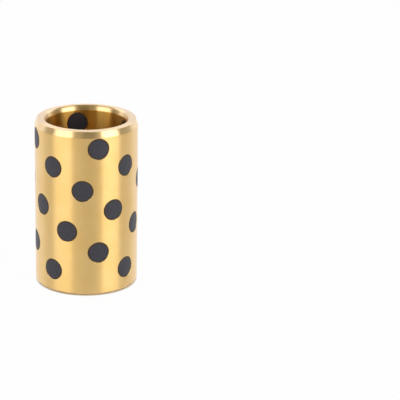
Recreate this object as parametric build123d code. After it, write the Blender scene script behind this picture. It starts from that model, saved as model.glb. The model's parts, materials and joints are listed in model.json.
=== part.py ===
from build123d import *
from math import tan, radians
import os

# A straight bushing: a turned brass sleeve whose wall is drilled through along
# four helices, each hole filled with a plug of graphite cut flush at both ends.
# The sleeve stands on its end, with its axis on Z and its foot at Z = 0.
# Lengths are in millimetres and angles in degrees.

# Sleeve
shaft_diameter = 28.0          # the bore, at its running size
wall_thickness = 4.0
nominal_length = 60.0
length_allowance = 0.2         # faced short, so that it never stands out of its housing

# Ends of the sleeve
lead_in_length = 2.1           # cone that starts the sleeve into its housing
lead_in_angle = 20.0           # between that cone and the axis
foot_chamfer = 1.0             # outer edge of the other end, at 45 degrees
bore_mouth_length = 1.7        # cone at each end of the bore
bore_mouth_angle = 15.0        # between that cone and the axis

# Plugs
plug_hole_diameter = 7.5
glue_gap = 0.05                # film of resin between a plug and its hole, all round
plugs_in_ring = 4
ring_pitch = 7.5               # from one ring of plugs to the next, along the axis
ring_turn = 36.0               # turn of each ring against the ring above it
first_plug_angle = 13.5        # from +X, in the top ring
top_margin = 6.3               # from the lead-in end to the middle of the top ring
foot_margin = 6.0              # least distance left below the middle of the last ring

bore_radius = shaft_diameter / 2
outer_radius = bore_radius + wall_thickness
sleeve_length = nominal_length - length_allowance
ring_room = sleeve_length - top_margin - foot_margin
ring_count = int(ring_room / ring_pitch) + 1


def sleeve_section():
    """Half section of the sleeve, from the foot up, in the XZ plane."""
    lead_in_height = lead_in_length * tan(radians(lead_in_angle))
    mouth_radius = bore_radius + bore_mouth_length * tan(radians(bore_mouth_angle))
    outside = [
        (mouth_radius, 0),
        (outer_radius - foot_chamfer, 0),
        (outer_radius, foot_chamfer),
        (outer_radius, sleeve_length - lead_in_length),
        (outer_radius - lead_in_height, sleeve_length),
    ]
    inside = [
        (mouth_radius, sleeve_length),
        (bore_radius, sleeve_length - bore_mouth_length),
        (bore_radius, bore_mouth_length),
    ]
    return Plane.XZ * make_face(Polyline(*outside, *inside, close=True))


def plug_places():
    """Name, angle and height of every plug, ring by ring from the top."""
    for ring in range(ring_count):
        height = sleeve_length - top_margin - ring * ring_pitch
        for number in range(plugs_in_ring):
            angle = first_plug_angle + ring * ring_turn + number * 360 / plugs_in_ring
            letter = chr(ord("a") + number)
            yield f"graphite_plug_{ring + 1}{letter}", angle, height


def radial_bar(diameter, angle, height):
    """A round bar that runs from the axis out through the wall."""
    outwards = Vector(1, 0, 0).rotate(Axis.Z, angle)
    across = Plane(origin=(0, 0, height), x_dir=(0, 0, 1), z_dir=outwards)
    reach = 2 * outer_radius
    from_axis = (Align.CENTER, Align.CENTER, Align.MIN)
    return across * Cylinder(diameter / 2, reach, align=from_axis)


def make_sleeve():
    blank = revolve(sleeve_section(), Axis.Z)
    holes = [
        radial_bar(plug_hole_diameter, angle, height)
        for name, angle, height in plug_places()
    ]
    return blank - holes


def make_plug(angle, height):
    """A plug whose two ends follow the outside of the sleeve and the bore."""
    standing = (Align.CENTER, Align.CENTER, Align.MIN)
    outside = Cylinder(outer_radius, sleeve_length, align=standing)
    bore = Cylinder(bore_radius, sleeve_length, align=standing)
    bar = radial_bar(plug_hole_diameter - 2 * glue_gap, angle, height)
    return bar & (outside - bore)


os.makedirs("parts", exist_ok=True)
export_step(make_sleeve(), "parts/sleeve.step")
for name, angle, height in plug_places():
    export_step(make_plug(angle, height), f"parts/{name}.step")
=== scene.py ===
import json
import math

import bpy
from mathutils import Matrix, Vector


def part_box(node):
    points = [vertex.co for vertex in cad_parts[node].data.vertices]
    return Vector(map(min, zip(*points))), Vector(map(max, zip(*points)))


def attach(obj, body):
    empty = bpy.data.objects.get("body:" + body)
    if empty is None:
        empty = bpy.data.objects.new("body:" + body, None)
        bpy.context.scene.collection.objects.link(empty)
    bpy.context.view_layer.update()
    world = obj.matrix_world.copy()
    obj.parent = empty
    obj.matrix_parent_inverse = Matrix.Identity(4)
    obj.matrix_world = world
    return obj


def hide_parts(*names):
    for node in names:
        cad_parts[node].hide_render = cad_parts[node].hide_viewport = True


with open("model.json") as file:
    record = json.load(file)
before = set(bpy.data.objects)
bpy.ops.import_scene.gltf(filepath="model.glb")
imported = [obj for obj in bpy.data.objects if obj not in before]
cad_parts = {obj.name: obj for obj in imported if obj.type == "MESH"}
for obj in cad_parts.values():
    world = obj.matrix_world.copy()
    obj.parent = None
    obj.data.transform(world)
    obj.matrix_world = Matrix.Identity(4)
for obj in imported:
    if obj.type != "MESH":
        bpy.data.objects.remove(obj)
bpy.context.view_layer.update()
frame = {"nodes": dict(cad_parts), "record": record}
mm = 0.001


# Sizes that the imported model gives

mounts = {mount["name"]: mount for mount in frame["record"]["mounts"]}
sleeveLow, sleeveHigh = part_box("sleeve")
sleeveLength = sleeveHigh.z - sleeveLow.z
outerRadius = mounts["housing_seat"]["dims"]["r_mm"] * mm
boreRadius = mounts["shaft_bore"]["dims"]["r_mm"] * mm
seatHalf = mounts["housing_seat"]["dims"]["length_mm"] * mm / 2
seatMiddle = mounts["housing_seat"]["pos_m"][2]
mouthLength = (sleeveLength - mounts["shaft_bore"]["dims"]["length_mm"] * mm) / 2
topRing = [
    math.hypot(v.co.x, v.co.y)
    for v in frame["nodes"]["sleeve"].data.vertices
    if v.co.z > sleeveHigh.z - 0.01 * mm
]


def plugCentre(name):
    low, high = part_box(name)
    return (low + high) / 2


def plugAngle(name):
    points = [v.co for v in frame["nodes"][name].data.vertices]
    return math.atan2(sum(p.y for p in points), sum(p.x for p in points))


plugNodes = sorted(name for name in frame["nodes"] if name.startswith("graphite_plug_"))
plugsInRing = sum(1 for name in plugNodes if name.startswith("graphite_plug_1"))
ringCount = len(plugNodes) // plugsInRing
plugLow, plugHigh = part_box("graphite_plug_1a")
plugRadius = (plugHigh.z - plugLow.z) / 2
topHeight = plugCentre("graphite_plug_1a").z
ringPitch = topHeight - plugCentre("graphite_plug_2a").z
firstAngle = plugAngle("graphite_plug_1a")
ringTurn = plugAngle("graphite_plug_2a") - firstAngle
glueGap = 0.05 * mm       # between a plug and its hole

print("sizes read:", len(plugNodes), "plugs in", ringCount, "rings")


# Node trees: a socket that takes part in sums, and the tree that holds it

class Value:
    def __init__(self, graph, socket):
        self.graph = graph
        self.socket = socket

    def __add__(self, other):
        return self.graph.math("ADD", self, other)

    def __sub__(self, other):
        return self.graph.math("SUBTRACT", self, other)

    def __rsub__(self, other):
        return self.graph.math("SUBTRACT", other, self)

    def __mul__(self, other):
        return self.graph.math("MULTIPLY", self, other)

    def __truediv__(self, other):
        return self.graph.math("DIVIDE", self, other)

    def __pow__(self, other):
        return self.graph.math("POWER", self, other)

    __radd__ = __add__
    __rmul__ = __mul__


class Graph:
    def __init__(self, tree):
        self.tree = tree

    def add(self, kind, settings=None, inputs=None, output=0):
        node = self.tree.nodes.new(kind)
        for name, setting in (settings or {}).items():
            if name == "stops":       # of a colour ramp
                ramp = node.color_ramp.elements
                for step, (place, colour) in enumerate(setting):
                    stop = ramp[step] if step < len(ramp) else ramp.new(place)
                    stop.position, stop.color = place, colour
            elif name == "choices":   # of an index switch
                for extra in range(setting - 2):
                    node.index_switch_items.new()
            else:
                setattr(node, name, setting)
        pairs = inputs.items() if isinstance(inputs, dict) else enumerate(inputs or [])
        for key, value in pairs:
            if isinstance(value, Value):
                self.tree.links.new(value.socket, node.inputs[key])
            else:
                node.inputs[key].default_value = value
        return Value(self, node.outputs[output]) if node.outputs else node

    def out(self, value, output):     # another output of the same node
        return Value(self, value.socket.node.outputs[output])

    def math(self, operation, *values):
        return self.add("ShaderNodeMath", {"operation": operation}, values)

    def smooth(self, value, low, high):        # 0 below low, 1 above high
        return self.add("ShaderNodeMapRange", {"interpolation_type": "SMOOTHSTEP"},
                        {"Value": value, "From Min": low, "From Max": high})

    def mix(self, share, first, second):
        return self.add("ShaderNodeMix", {}, {0: share, 2: first, 3: second})

    def mixColours(self, share, first, second, kind="MIX"):
        return self.add("ShaderNodeMix", {"data_type": "RGBA", "blend_type": kind},
                        {0: share, 6: first, 7: second}, output=2)

    def vector(self, x, y, z):
        return self.add("ShaderNodeCombineXYZ", {}, [x, y, z])

    def parts(self, vector):
        x = self.add("ShaderNodeSeparateXYZ", {}, [vector])
        return x, self.out(x, 1), self.out(x, 2)

    def noise(self, vector, detail=2.0, roughness=0.5):
        return self.add("ShaderNodeTexNoise", {},
                        {"Vector": vector, "Scale": 1.0, "Detail": detail, "Roughness": roughness})


def startMaterial(name):
    material = bpy.data.materials.new(name)
    material.use_nodes = True
    material.node_tree.nodes.clear()
    return material, Graph(material.node_tree)


def startShape(name, sizes):
    tree = bpy.data.node_groups.new(name, "GeometryNodeTree")
    for label, size in sizes.items():
        kind = "NodeSocketInt" if isinstance(size, int) else "NodeSocketFloat"
        tree.interface.new_socket(label, in_out="INPUT", socket_type=kind)
    tree.interface.new_socket("Material", in_out="INPUT", socket_type="NodeSocketMaterial")
    tree.interface.new_socket("Geometry", in_out="OUTPUT", socket_type="NodeSocketGeometry")
    graph = Graph(tree)
    source = tree.nodes.new("NodeGroupInput")
    return graph, {socket.name: Value(graph, socket) for socket in source.outputs if socket.name}


def finishShape(graph, shape, given):
    whole = graph.add("GeometryNodeRealizeInstances", {}, {"Geometry": shape})
    finished = graph.add("GeometryNodeSetMaterial", {},
                         {"Geometry": whole, "Material": given["Material"]})
    graph.add("NodeGroupOutput", {}, {"Geometry": finished})


def makePiece(name, graph, sizes, material):
    piece = bpy.data.objects.new(name, bpy.data.meshes.new(name))
    bpy.context.scene.collection.objects.link(piece)
    shaping = piece.modifiers.new("shape", "NODES")
    shaping.node_group = graph.tree
    for socket in graph.tree.interface.items_tree:
        if socket.in_out == "INPUT":
            shaping[socket.identifier] = material if socket.name == "Material" else sizes[socket.name]
    view = bpy.context.evaluated_depsgraph_get()
    mesh = bpy.data.meshes.new_from_object(piece.evaluated_get(view), depsgraph=view)
    piece.modifiers.remove(shaping)
    mesh.materials.clear()
    mesh.materials.append(material)
    piece.data = mesh
    print(name, "has", sum(len(face.vertices) - 2 for face in mesh.polygons), "triangles")
    return piece


# The pattern of the plugs, shared by the holes in the sleeve and the plugs themselves

pattern = {
    "Plugs in Ring": plugsInRing,
    "Ring Count": ringCount,
    "Ring Pitch": ringPitch,
    "Ring Turn": ringTurn,
    "First Angle": firstAngle,
    "Top Height": topHeight,
    "Outer Radius": outerRadius,
    "Bore Radius": boreRadius,
}


def placeInPattern(graph, given, body):        # body lies along X, and is turned to each place
    count = given["Plugs in Ring"] * given["Ring Count"]
    number = graph.add("GeometryNodeInputIndex")
    ring = graph.math("FLOOR", number / given["Plugs in Ring"] + 0.001)
    angle = given["First Angle"] + ring * given["Ring Turn"] + number / given["Plugs in Ring"] * math.tau
    height = given["Top Height"] - ring * given["Ring Pitch"]
    points = graph.add("GeometryNodePoints", {},
                       {"Count": count, "Position": graph.vector(0.0, 0.0, height)})
    turn = graph.add("FunctionNodeAxisAngleToRotation", {}, {"Axis": (0, 0, 1), "Angle": angle})
    return graph.add("GeometryNodeInstanceOnPoints", {},
                     {"Points": points, "Instance": body, "Rotation": turn})


def surfaceDepth(graph, radius, sideways):     # distance along X to a cylinder round Z
    return graph.math("SQRT", radius * radius - sideways * sideways)


# The sleeve: a turned section with an edge break at each corner, and a hole for each plug

sleeveFinish = {
    "Length": sleeveLength,
    "Cone Length": sleeveLength - seatMiddle - seatHalf + 0.3 * mm,       # a little over the solid's
    "Cone Depth": outerRadius - max(topRing),
    "Crown": 0.24 * mm,             # the rim rises inward from the cone to a rounded crest
    "Crest Radius": boreRadius + 1.15 * mm,
    "Crest Corner": 0.03 * mm,      # over the crest, before it is rounded
    "Crest Rounding": 0.6 * mm,
    "Knee Radius": boreRadius + 0.57 * mm,      # where the rim turns down towards the bore
    "Knee Depth": 0.50 * mm,
    "Knee Rounding": 0.6 * mm,
    "Throat Radius": boreRadius + 0.12 * mm,    # and where it has all but reached it
    "Throat Depth": 1.50 * mm,
    "Throat Rounding": 1.2 * mm,
    "Mouth End": 1.80 * mm,
    "Foot Chamfer": seatMiddle - seatHalf,
    "Foot Mouth Length": mouthLength,
    "Foot Mouth Depth": min(topRing) - boreRadius,
    "Edge Break": 0.10 * mm,
    "Edge Steps": 6,
    "Facets Round": 720,
    "Sharp Above": math.radians(6),
    "Hole Radius": plugRadius + glueGap,
    "Hole Mouth": 0.10 * mm,        # chamfer at both ends of each hole
    "Hole Facets": 96,
}


def makeSleeveShape(sizes):
    graph, given = startShape("sleeve shape", sizes)
    outer, bore, length = given["Outer Radius"], given["Bore Radius"], given["Length"]
    middle = (outer + bore) * 0.5
    footInner = bore + given["Foot Mouth Depth"]
    slight, wide = given["Edge Break"], given["Throat Rounding"]
    corners = [                  # radius, height, and the radius that rounds the corner
        (outer - given["Foot Chamfer"], 0.0, slight),
        (outer, given["Foot Chamfer"], slight),
        (outer, length - given["Cone Length"], slight),
        (outer - given["Cone Depth"], length - given["Crown"], slight),
        (given["Crest Radius"], length + given["Crest Corner"], given["Crest Rounding"]),
        (given["Knee Radius"], length - given["Knee Depth"], given["Knee Rounding"]),
        (given["Throat Radius"], length - given["Throat Depth"], wide),
        (bore, length - given["Mouth End"], wide),
        (bore, given["Foot Mouth Length"], slight),
        (footInner, 0.0, slight),
    ]
    number = graph.add("GeometryNodeInputIndex")
    places, roundings = {0: number}, {0: number}       # the sweep turns the section upside down
    for order, (radius, height, rounding) in enumerate(reversed(corners)):
        places[order + 1] = graph.vector(radius - middle, 0 - height, 0.0)
        roundings[order + 1] = rounding
    place = graph.add("GeometryNodeIndexSwitch", {"data_type": "VECTOR", "choices": len(corners)}, places)
    rounding = graph.add("GeometryNodeIndexSwitch", {"data_type": "FLOAT", "choices": len(corners)},
                         roundings)
    outline = graph.add("GeometryNodeMeshCircle", {}, {"Vertices": len(corners)})
    outline = graph.add("GeometryNodeStoreNamedAttribute", {},
                        {"Geometry": outline, "Name": "rounding", "Value": rounding})
    outline = graph.add("GeometryNodeSetPosition", {}, {"Geometry": outline, "Position": place})
    outline = graph.add("GeometryNodeMeshToCurve", {}, {"Mesh": outline})
    rounding = graph.add("GeometryNodeInputNamedAttribute", {"data_type": "FLOAT"}, {"Name": "rounding"})
    outline = graph.add("GeometryNodeFilletCurve", {"mode": "POLY"},
                        {"Curve": outline, "Count": given["Edge Steps"], "Radius": rounding})
    outline = graph.add("GeometryNodeRemoveAttribute", {}, {"Geometry": outline, "Name": "rounding"})
    path = graph.add("GeometryNodeCurvePrimitiveCircle", {},
                     {"Resolution": given["Facets Round"], "Radius": middle})
    blank = graph.add("GeometryNodeCurveToMesh", {}, {"Curve": path, "Profile Curve": outline})

    # each cutter has its ends at level 1 and -1, flared past both faces to leave a chamfer there
    cutter = graph.add("GeometryNodeMeshCylinder", {"fill_type": "TRIANGLE_FAN"},
                       {"Vertices": given["Hole Facets"], "Side Segments": 3, "Radius": 1.0, "Depth": 2.0})
    across, upright, level = graph.parts(graph.add("GeometryNodeInputPosition"))
    flared = graph.math("GREATER_THAN", graph.math("ABSOLUTE", level), 0.9)
    isOuter = graph.math("GREATER_THAN", level, 0.0)
    past = 0.5 * mm
    radius = given["Hole Radius"] + flared * (given["Hole Mouth"] + past)
    sideways, height = across * radius, upright * radius
    depth = flared * past - (1 - flared) * given["Hole Mouth"]
    outside = surfaceDepth(graph, outer, sideways) + depth
    inside = surfaceDepth(graph, bore, sideways) - depth
    cutter = graph.add("GeometryNodeSetPosition", {}, {
        "Geometry": cutter,
        "Position": graph.vector(graph.mix(isOuter, inside, outside), sideways, height)})
    cutters = graph.add("GeometryNodeRealizeInstances", {},
                        {"Geometry": placeInPattern(graph, given, cutter)})
    drilled = graph.add("GeometryNodeMeshBoolean", {"operation": "DIFFERENCE", "solver": "MANIFOLD"},
                        {0: blank, 1: cutters})
    smooth = graph.add("GeometryNodeSetShadeSmooth", {}, {"Geometry": drilled})
    steep = graph.math("GREATER_THAN", graph.add("GeometryNodeInputMeshEdgeAngle"), given["Sharp Above"])
    smooth = graph.add("GeometryNodeSetShadeSmooth", {"domain": "EDGE"},
                       {"Geometry": smooth, "Selection": steep, "Shade Smooth": False})
    finishShape(graph, smooth, given)
    return graph


# The plugs: round bars whose two ends follow the outside and the bore

plugFinish = {
    "Plug Radius": plugRadius,
    "Plug Facets": 72,
    "Face Rings": 8,
    "Ring Crowding": 1.6,     # over 1, the rings crowd towards the rim
    "Rim Break": 0.04 * mm,
    "Sharp Above": math.radians(12),
}


def makePlugShape(sizes):
    graph, given = startShape("plug shape", sizes)
    body = graph.add("GeometryNodeMeshCylinder", {"fill_type": "TRIANGLE_FAN"}, {
        "Vertices": given["Plug Facets"], "Fill Segments": given["Face Rings"],
        "Radius": 1.0, "Depth": 2.0})
    across, upright, level = graph.parts(graph.add("GeometryNodeInputPosition"))
    reach = graph.math("SQRT", across * across + upright * upright)
    closer = (1 - graph.math("MINIMUM", reach, 1.0)) ** given["Ring Crowding"]
    spread = (1 - closer) / graph.math("MAXIMUM", reach, 0.001) * given["Plug Radius"]
    sideways, height = across * spread, upright * spread
    atRim = graph.math("GREATER_THAN", reach, 0.999)
    isOuter = graph.math("GREATER_THAN", level, 0.0)
    outside = surfaceDepth(graph, given["Outer Radius"], sideways) - atRim * given["Rim Break"]
    inside = surfaceDepth(graph, given["Bore Radius"], sideways) + atRim * given["Rim Break"]
    body = graph.add("GeometryNodeStoreNamedAttribute", {},
                     {"Geometry": body, "Name": "fromRim", "Value": closer * given["Plug Radius"] / mm})
    body = graph.add("GeometryNodeSetPosition", {}, {
        "Geometry": body,
        "Position": graph.vector(graph.mix(isOuter, inside, outside), sideways, height)})
    smooth = graph.add("GeometryNodeSetShadeSmooth", {}, {"Geometry": body})
    steep = graph.math("GREATER_THAN", graph.add("GeometryNodeInputMeshEdgeAngle"), given["Sharp Above"])
    smooth = graph.add("GeometryNodeSetShadeSmooth", {"domain": "EDGE"},
                       {"Geometry": smooth, "Selection": steep, "Shade Smooth": False})
    placed = placeInPattern(graph, given, smooth)
    tone = graph.add("FunctionNodeRandomValue", {}, {2: 0.0, 3: 1.0, "Seed": 7})
    placed = graph.add("GeometryNodeStoreNamedAttribute", {"domain": "INSTANCE"},
                       {"Geometry": placed, "Name": "tone", "Value": tone})
    finishShape(graph, placed, given)
    return graph


# Finishes

brass = {
    "light": (0.915, 0.623, 0.236, 1),
    "deep": (0.887, 0.585, 0.198, 1),
    "faced": (0.915, 0.670, 0.330, 1),       # paler brass of the cones and the rim: painted sheen for their whiter look at grazing angles
    "shadedBore": (0.849, 0.509, 0.123, 1),       # painted shade: darker, deeper brass in the bore
    "wall": 0.39,             # roughness of the turned outside
    "bore": 0.31,
    "ends": 0.31,             # of the cones and the rim
    "anisotropic": 0.95,
    "oilFilm": 0.7,
    "oilRoughness": 0.22,
    "marks": 0.30,            # strength of the tool marks
    "markDepth": 0.006 * mm,
    "fineMarks": 9,           # to a mm of the tool's way
    "broadMarks": 1.9,
    "clouds": 0.12,           # to a mm
    "fineSway": 0.04,         # of the roughness
    "broadSway": 0.05,
}


def makeBrass():
    material, graph = startMaterial("turned brass")
    place = graph.add("ShaderNodeTexCoord", output="Object")
    x, y, z = [part / mm for part in graph.parts(place)]
    radius = graph.math("SQRT", x * x + y * y)
    cosine, sine = x / radius, y / radius
    feed = z + radius * 1.7         # the way that the tool moves on, over walls, cones and rings
    fine = graph.noise(graph.vector(cosine * 1.5, sine * 1.5, feed * brass["fineMarks"]), 3)
    broad = graph.noise(graph.vector(cosine, sine, feed * brass["broadMarks"]), 2)
    clouds = brass["clouds"]
    cloud = graph.noise(graph.vector(x * clouds, y * clouds, z * clouds), 2)
    colour = graph.mixColours(graph.smooth(cloud * 0.8 + broad * 0.2, 0.35, 0.65),
                              brass["deep"], brass["light"])
    near, far = 0.02, 0.10                      # mm from a wall, between which its finish ends
    inBore = 1 - graph.smooth(radius, boreRadius / mm + near, boreRadius / mm + far)
    onWall = graph.smooth(radius, outerRadius / mm - far, outerRadius / mm - near)
    # painted sheen: away from the outside wall, the cones and the rim take a paler brass
    colour = graph.mixColours(onWall, brass["faced"], colour)
    # painted shade: the bore gets a darker, deeper brass
    colour = graph.mixColours(inBore, colour, brass["shadedBore"])
    turned = graph.mix(onWall, brass["ends"], brass["wall"])
    turned = graph.mix(inBore, turned, brass["bore"])
    roughness = turned + (broad - 0.5) * brass["broadSway"] + (fine - 0.5) * brass["fineSway"]
    normal = graph.add("ShaderNodeBump", {}, {
        "Strength": brass["marks"], "Distance": brass["markDepth"],
        "Height": fine * 0.7 + broad * 0.3})
    shader = graph.add("ShaderNodeBsdfPrincipled", {}, {
        "Base Color": colour, "Metallic": 1.0, "Roughness": roughness, "Normal": normal,
        "Anisotropic": brass["anisotropic"], "Anisotropic Rotation": 0.25,
        "Coat Weight": brass["oilFilm"], "Coat Roughness": brass["oilRoughness"], "Coat IOR": 1.5})
    graph.add("ShaderNodeOutputMaterial", {}, {"Surface": shader})
    return material


graphite = {
    "dark": (0.025, 0.026, 0.040, 1),
    "light": (0.047, 0.048, 0.066, 1),
    # dark brown ring at each plug's rim: a resin joint, and painted shade of the gap and hole chamfer
    "resin": (0.042, 0.021, 0.006, 1),
    "resinWidth": 0.42,       # mm
    "roughness": 0.48,
    "roughnessSway": 0.2,
    "grain": 6,               # to a mm
    "clouds": 0.9,
    "marks": 9,               # lathe marks, to a mm of height
    "relief": 0.4,
    "reliefDepth": 0.02 * mm,
}


def makeGraphite():
    material, graph = startMaterial("pressed graphite")
    place = graph.add("ShaderNodeTexCoord", output="Object")
    x, y, z = [part / mm for part in graph.parts(place)]
    grains, clouds = graphite["grain"], graphite["clouds"]
    grain = graph.noise(graph.vector(x * grains, y * grains, z * grains), 3, 0.6)
    cloud = graph.noise(graph.vector(x * clouds, y * clouds, z * clouds), 2)
    marks = graph.noise(graph.vector(x * 0.3, y * 0.3, z * graphite["marks"]), 2)
    tone = graph.add("ShaderNodeAttribute", {"attribute_name": "tone"}, output="Fac")
    fromRim = graph.add("ShaderNodeAttribute", {"attribute_name": "fromRim"}, output="Fac")
    colour = graph.mixColours(graph.smooth(grain * 0.4 + cloud * 0.4 + tone * 0.2, 0.3, 0.7),
                              graphite["dark"], graphite["light"])
    inward = graph.smooth(fromRim, graphite["resinWidth"] * 0.5, graphite["resinWidth"] * 1.5)
    # resin joint and painted gap shade: a dark brown ring along the rim of each plug end
    colour = graph.mixColours(inward, graphite["resin"], colour)
    roughness = graphite["roughness"] + (grain - 0.5) * graphite["roughnessSway"]
    normal = graph.add("ShaderNodeBump", {}, {
        "Strength": graphite["relief"], "Distance": graphite["reliefDepth"],
        "Height": grain * 0.6 + marks * 0.4})
    shader = graph.add("ShaderNodeBsdfPrincipled", {}, {
        "Base Color": colour, "Roughness": roughness, "Normal": normal, "Specular IOR Level": 0.5})
    graph.add("ShaderNodeOutputMaterial", {}, {"Surface": shader})
    return material


sleeveSizes = {**pattern, **sleeveFinish}
sleevePiece = makePiece("turned_sleeve", makeSleeveShape(sleeveSizes), sleeveSizes, makeBrass())
plugSizes = {**pattern, **plugFinish}
plugPiece = makePiece("graphite_plugs", makePlugShape(plugSizes), plugSizes, makeGraphite())

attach(sleevePiece, "root")
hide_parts("sleeve")
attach(plugPiece, "root")
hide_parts(*plugNodes)


# Floor and studio light

studio = {
    "floorColour": (0.80, 0.80, 0.80, 1),
    "floorGlow": 0.97,        # share of plain white that camera and metal see
    "floorReach": 6,
    "room": (0.297, 0.259, 0.190, 1),
    "front": (0.436, 0.381, 0.275, 1),      # behind the camera, between the lamps
    "frontHalf": 41.5,        # degrees
    "frontSoft": 3.5,
    "frontTop": (0.6, 0.8),   # sine of the elevation, from the start to the end of its fade
    "hood": (0.178, 0.153, 0.108, 1),       # straight behind the camera
    "hoodFrom": -9, "hoodTo": 22,
    "hoodSoft": 3,
    "hoodTop": (0.6, 0.7),
    "lamps": {                # azimuth from the camera; a lamp stands upright and faces the middle
        "left box": {"azimuth": -54.5, "away": 0.8, "width": 0.645, "heights": (0.0, 1.5), "glow": 1.21},
        "left core": {"azimuth": -53, "away": 0.78, "width": 0.60, "heights": (0.1, 0.7), "glow": 0.72},
        "right box": {"azimuth": 56, "away": 0.8, "width": 0.60, "heights": (0.0, 1.5), "glow": 1.32},
        "right core": {"azimuth": 55.5, "away": 0.78, "width": 0.56, "heights": (0.1, 0.7), "glow": 1.21},
        "backdrop": {"azimuth": -174, "away": 1.5, "width": 6.8, "heights": (0.0, 0.95), "glow": 0.66},
        "backdrop top": {"azimuth": -174, "away": 1.5, "width": 6.8, "heights": (0.95, 3.2), "glow": 1.26},
    },
    "boxColour": (1, 1, 1),
    "backdropColour": (0.92, 0.97, 1.22),
}


def addLamp(name, place, towards, width, height, glow, colour):
    light = bpy.data.lights.new(name, "AREA")
    light.shape = "RECTANGLE"
    light.size, light.size_y = width, height
    light.energy = glow * math.pi * width * height       # a glow of 1 is plain white in a mirror
    light.color = colour
    lamp = bpy.data.objects.new(name, light)
    lamp.location = place
    lamp.rotation_mode = "QUATERNION"
    lamp.rotation_quaternion = towards.to_track_quat("-Z", "Y")
    lamp.visible_camera = False
    bpy.context.scene.collection.objects.link(lamp)


def makeStudio():
    for name, lamp in studio["lamps"].items():
        angle = math.radians(lamp["azimuth"])
        away = Vector((math.sin(angle), -math.cos(angle), 0))
        low, high = lamp["heights"]
        tall = high - low
        place = away * lamp["away"] + Vector((0, 0, low + tall / 2))
        colour = studio["backdropColour"] if "backdrop" in name else studio["boxColour"]
        addLamp(name, place, -away, lamp["width"], tall, lamp["glow"], colour)

    material, graph = startMaterial("studio floor")
    x, y, z = graph.parts(graph.add("ShaderNodeTexCoord", output="Object"))
    fromAxis = graph.math("SQRT", x * x + y * y)
    rays = graph.add("ShaderNodeLightPath", output="Is Camera Ray")
    seen = graph.math("MAXIMUM", graph.math("MAXIMUM", rays, graph.out(rays, "Is Glossy Ray")),
                      graph.out(rays, "Is Transmission Ray"))
    clear = graph.smooth(fromAxis, outerRadius - 0.6 * mm, outerRadius + 0.2 * mm)   # none underneath
    matt = graph.add("ShaderNodeBsdfDiffuse", {}, {"Color": studio["floorColour"]})
    white = graph.add("ShaderNodeEmission", {}, {"Color": (1, 1, 1, 1), "Strength": 1.0})
    shader = graph.add("ShaderNodeMixShader", {}, [seen * clear * studio["floorGlow"], matt, white])
    graph.add("ShaderNodeOutputMaterial", {}, {"Surface": shader})
    mesh = bpy.data.meshes.new("studio_floor")
    reach = studio["floorReach"]
    mesh.from_pydata([(-reach, -reach, 0), (reach, -reach, 0), (reach, reach, 0), (-reach, reach, 0)],
                     [], [(0, 1, 2, 3)])
    mesh.materials.append(material)
    floor = bpy.data.objects.new("studio_floor", mesh)
    bpy.context.scene.collection.objects.link(floor)

    world = bpy.data.worlds.new("studio room")
    world.use_nodes = True
    world.node_tree.nodes.clear()
    graph = Graph(world.node_tree)
    isCamera = graph.add("ShaderNodeLightPath", output="Is Camera Ray")
    x, y, z = graph.parts(graph.add("ShaderNodeTexCoord", output="Generated"))
    azimuth = graph.math("ARCTAN2", x, 0 - y) * (180 / math.pi)
    half, soft = studio["frontHalf"], studio["frontSoft"]
    inFront = ((1 - graph.smooth(z, *studio["frontTop"]))
               * (1 - graph.smooth(graph.math("ABSOLUTE", azimuth), half - soft, half + soft)))
    colour = graph.mixColours(inFront, studio["room"], studio["front"])
    start, end, soft = studio["hoodFrom"], studio["hoodTo"], studio["hoodSoft"]
    inHood = (graph.smooth(azimuth, start - soft, start + soft)
              * (1 - graph.smooth(azimuth, end - soft, end + soft))
              * (1 - graph.smooth(z, *studio["hoodTop"])))
    colour = graph.mixColours(inHood, colour, studio["hood"])
    room = graph.add("ShaderNodeBackground", {}, {"Color": colour, "Strength": 1.0})
    white = graph.add("ShaderNodeBackground", {}, {"Color": (1, 1, 1, 1), "Strength": 1.0})
    graph.add("ShaderNodeOutputWorld", {},
              {"Surface": graph.add("ShaderNodeMixShader", {}, [isCamera, room, white])})
    bpy.context.scene.world = world


makeStudio()
print("studio lit")


# Camera: it looks past the object, which stands left of the middle

camera = {
    "lens": 170.37,
    "sensor": 36,
    "away": 0.66886,
    "elevation": 19.189,      # degrees
    "frame": 400,             # pixels across and down
    "objectAt": (86.42, 198.11),        # of the object's middle, in that frame
}


def makeCamera():
    data = bpy.data.cameras.new("camera")
    data.sensor_width = camera["sensor"]
    data.lens = camera["lens"]
    data.clip_start, data.clip_end = 0.01, 100
    eye = bpy.data.objects.new("camera", data)
    middle = Vector((0, 0, sleeveLength / 2))
    rise = math.radians(camera["elevation"])
    away = Vector((0, -math.cos(rise), math.sin(rise)))
    pixels = camera["lens"] / camera["sensor"] * camera["frame"]
    across, down = camera["objectAt"]
    half = camera["frame"] / 2
    towardsObject = Vector(((across - half) / pixels, (half - down) / pixels, -1))
    swing = towardsObject.rotation_difference(Vector((0, 0, -1)))
    eye.location = middle + away * camera["away"]
    eye.rotation_mode = "QUATERNION"
    eye.rotation_quaternion = (-away).to_track_quat("-Z", "Y") @ swing
    bpy.context.scene.collection.objects.link(eye)
    bpy.context.scene.camera = eye


makeCamera()
print("camera placed")
bpy.context.scene.view_settings.view_transform = "Standard"
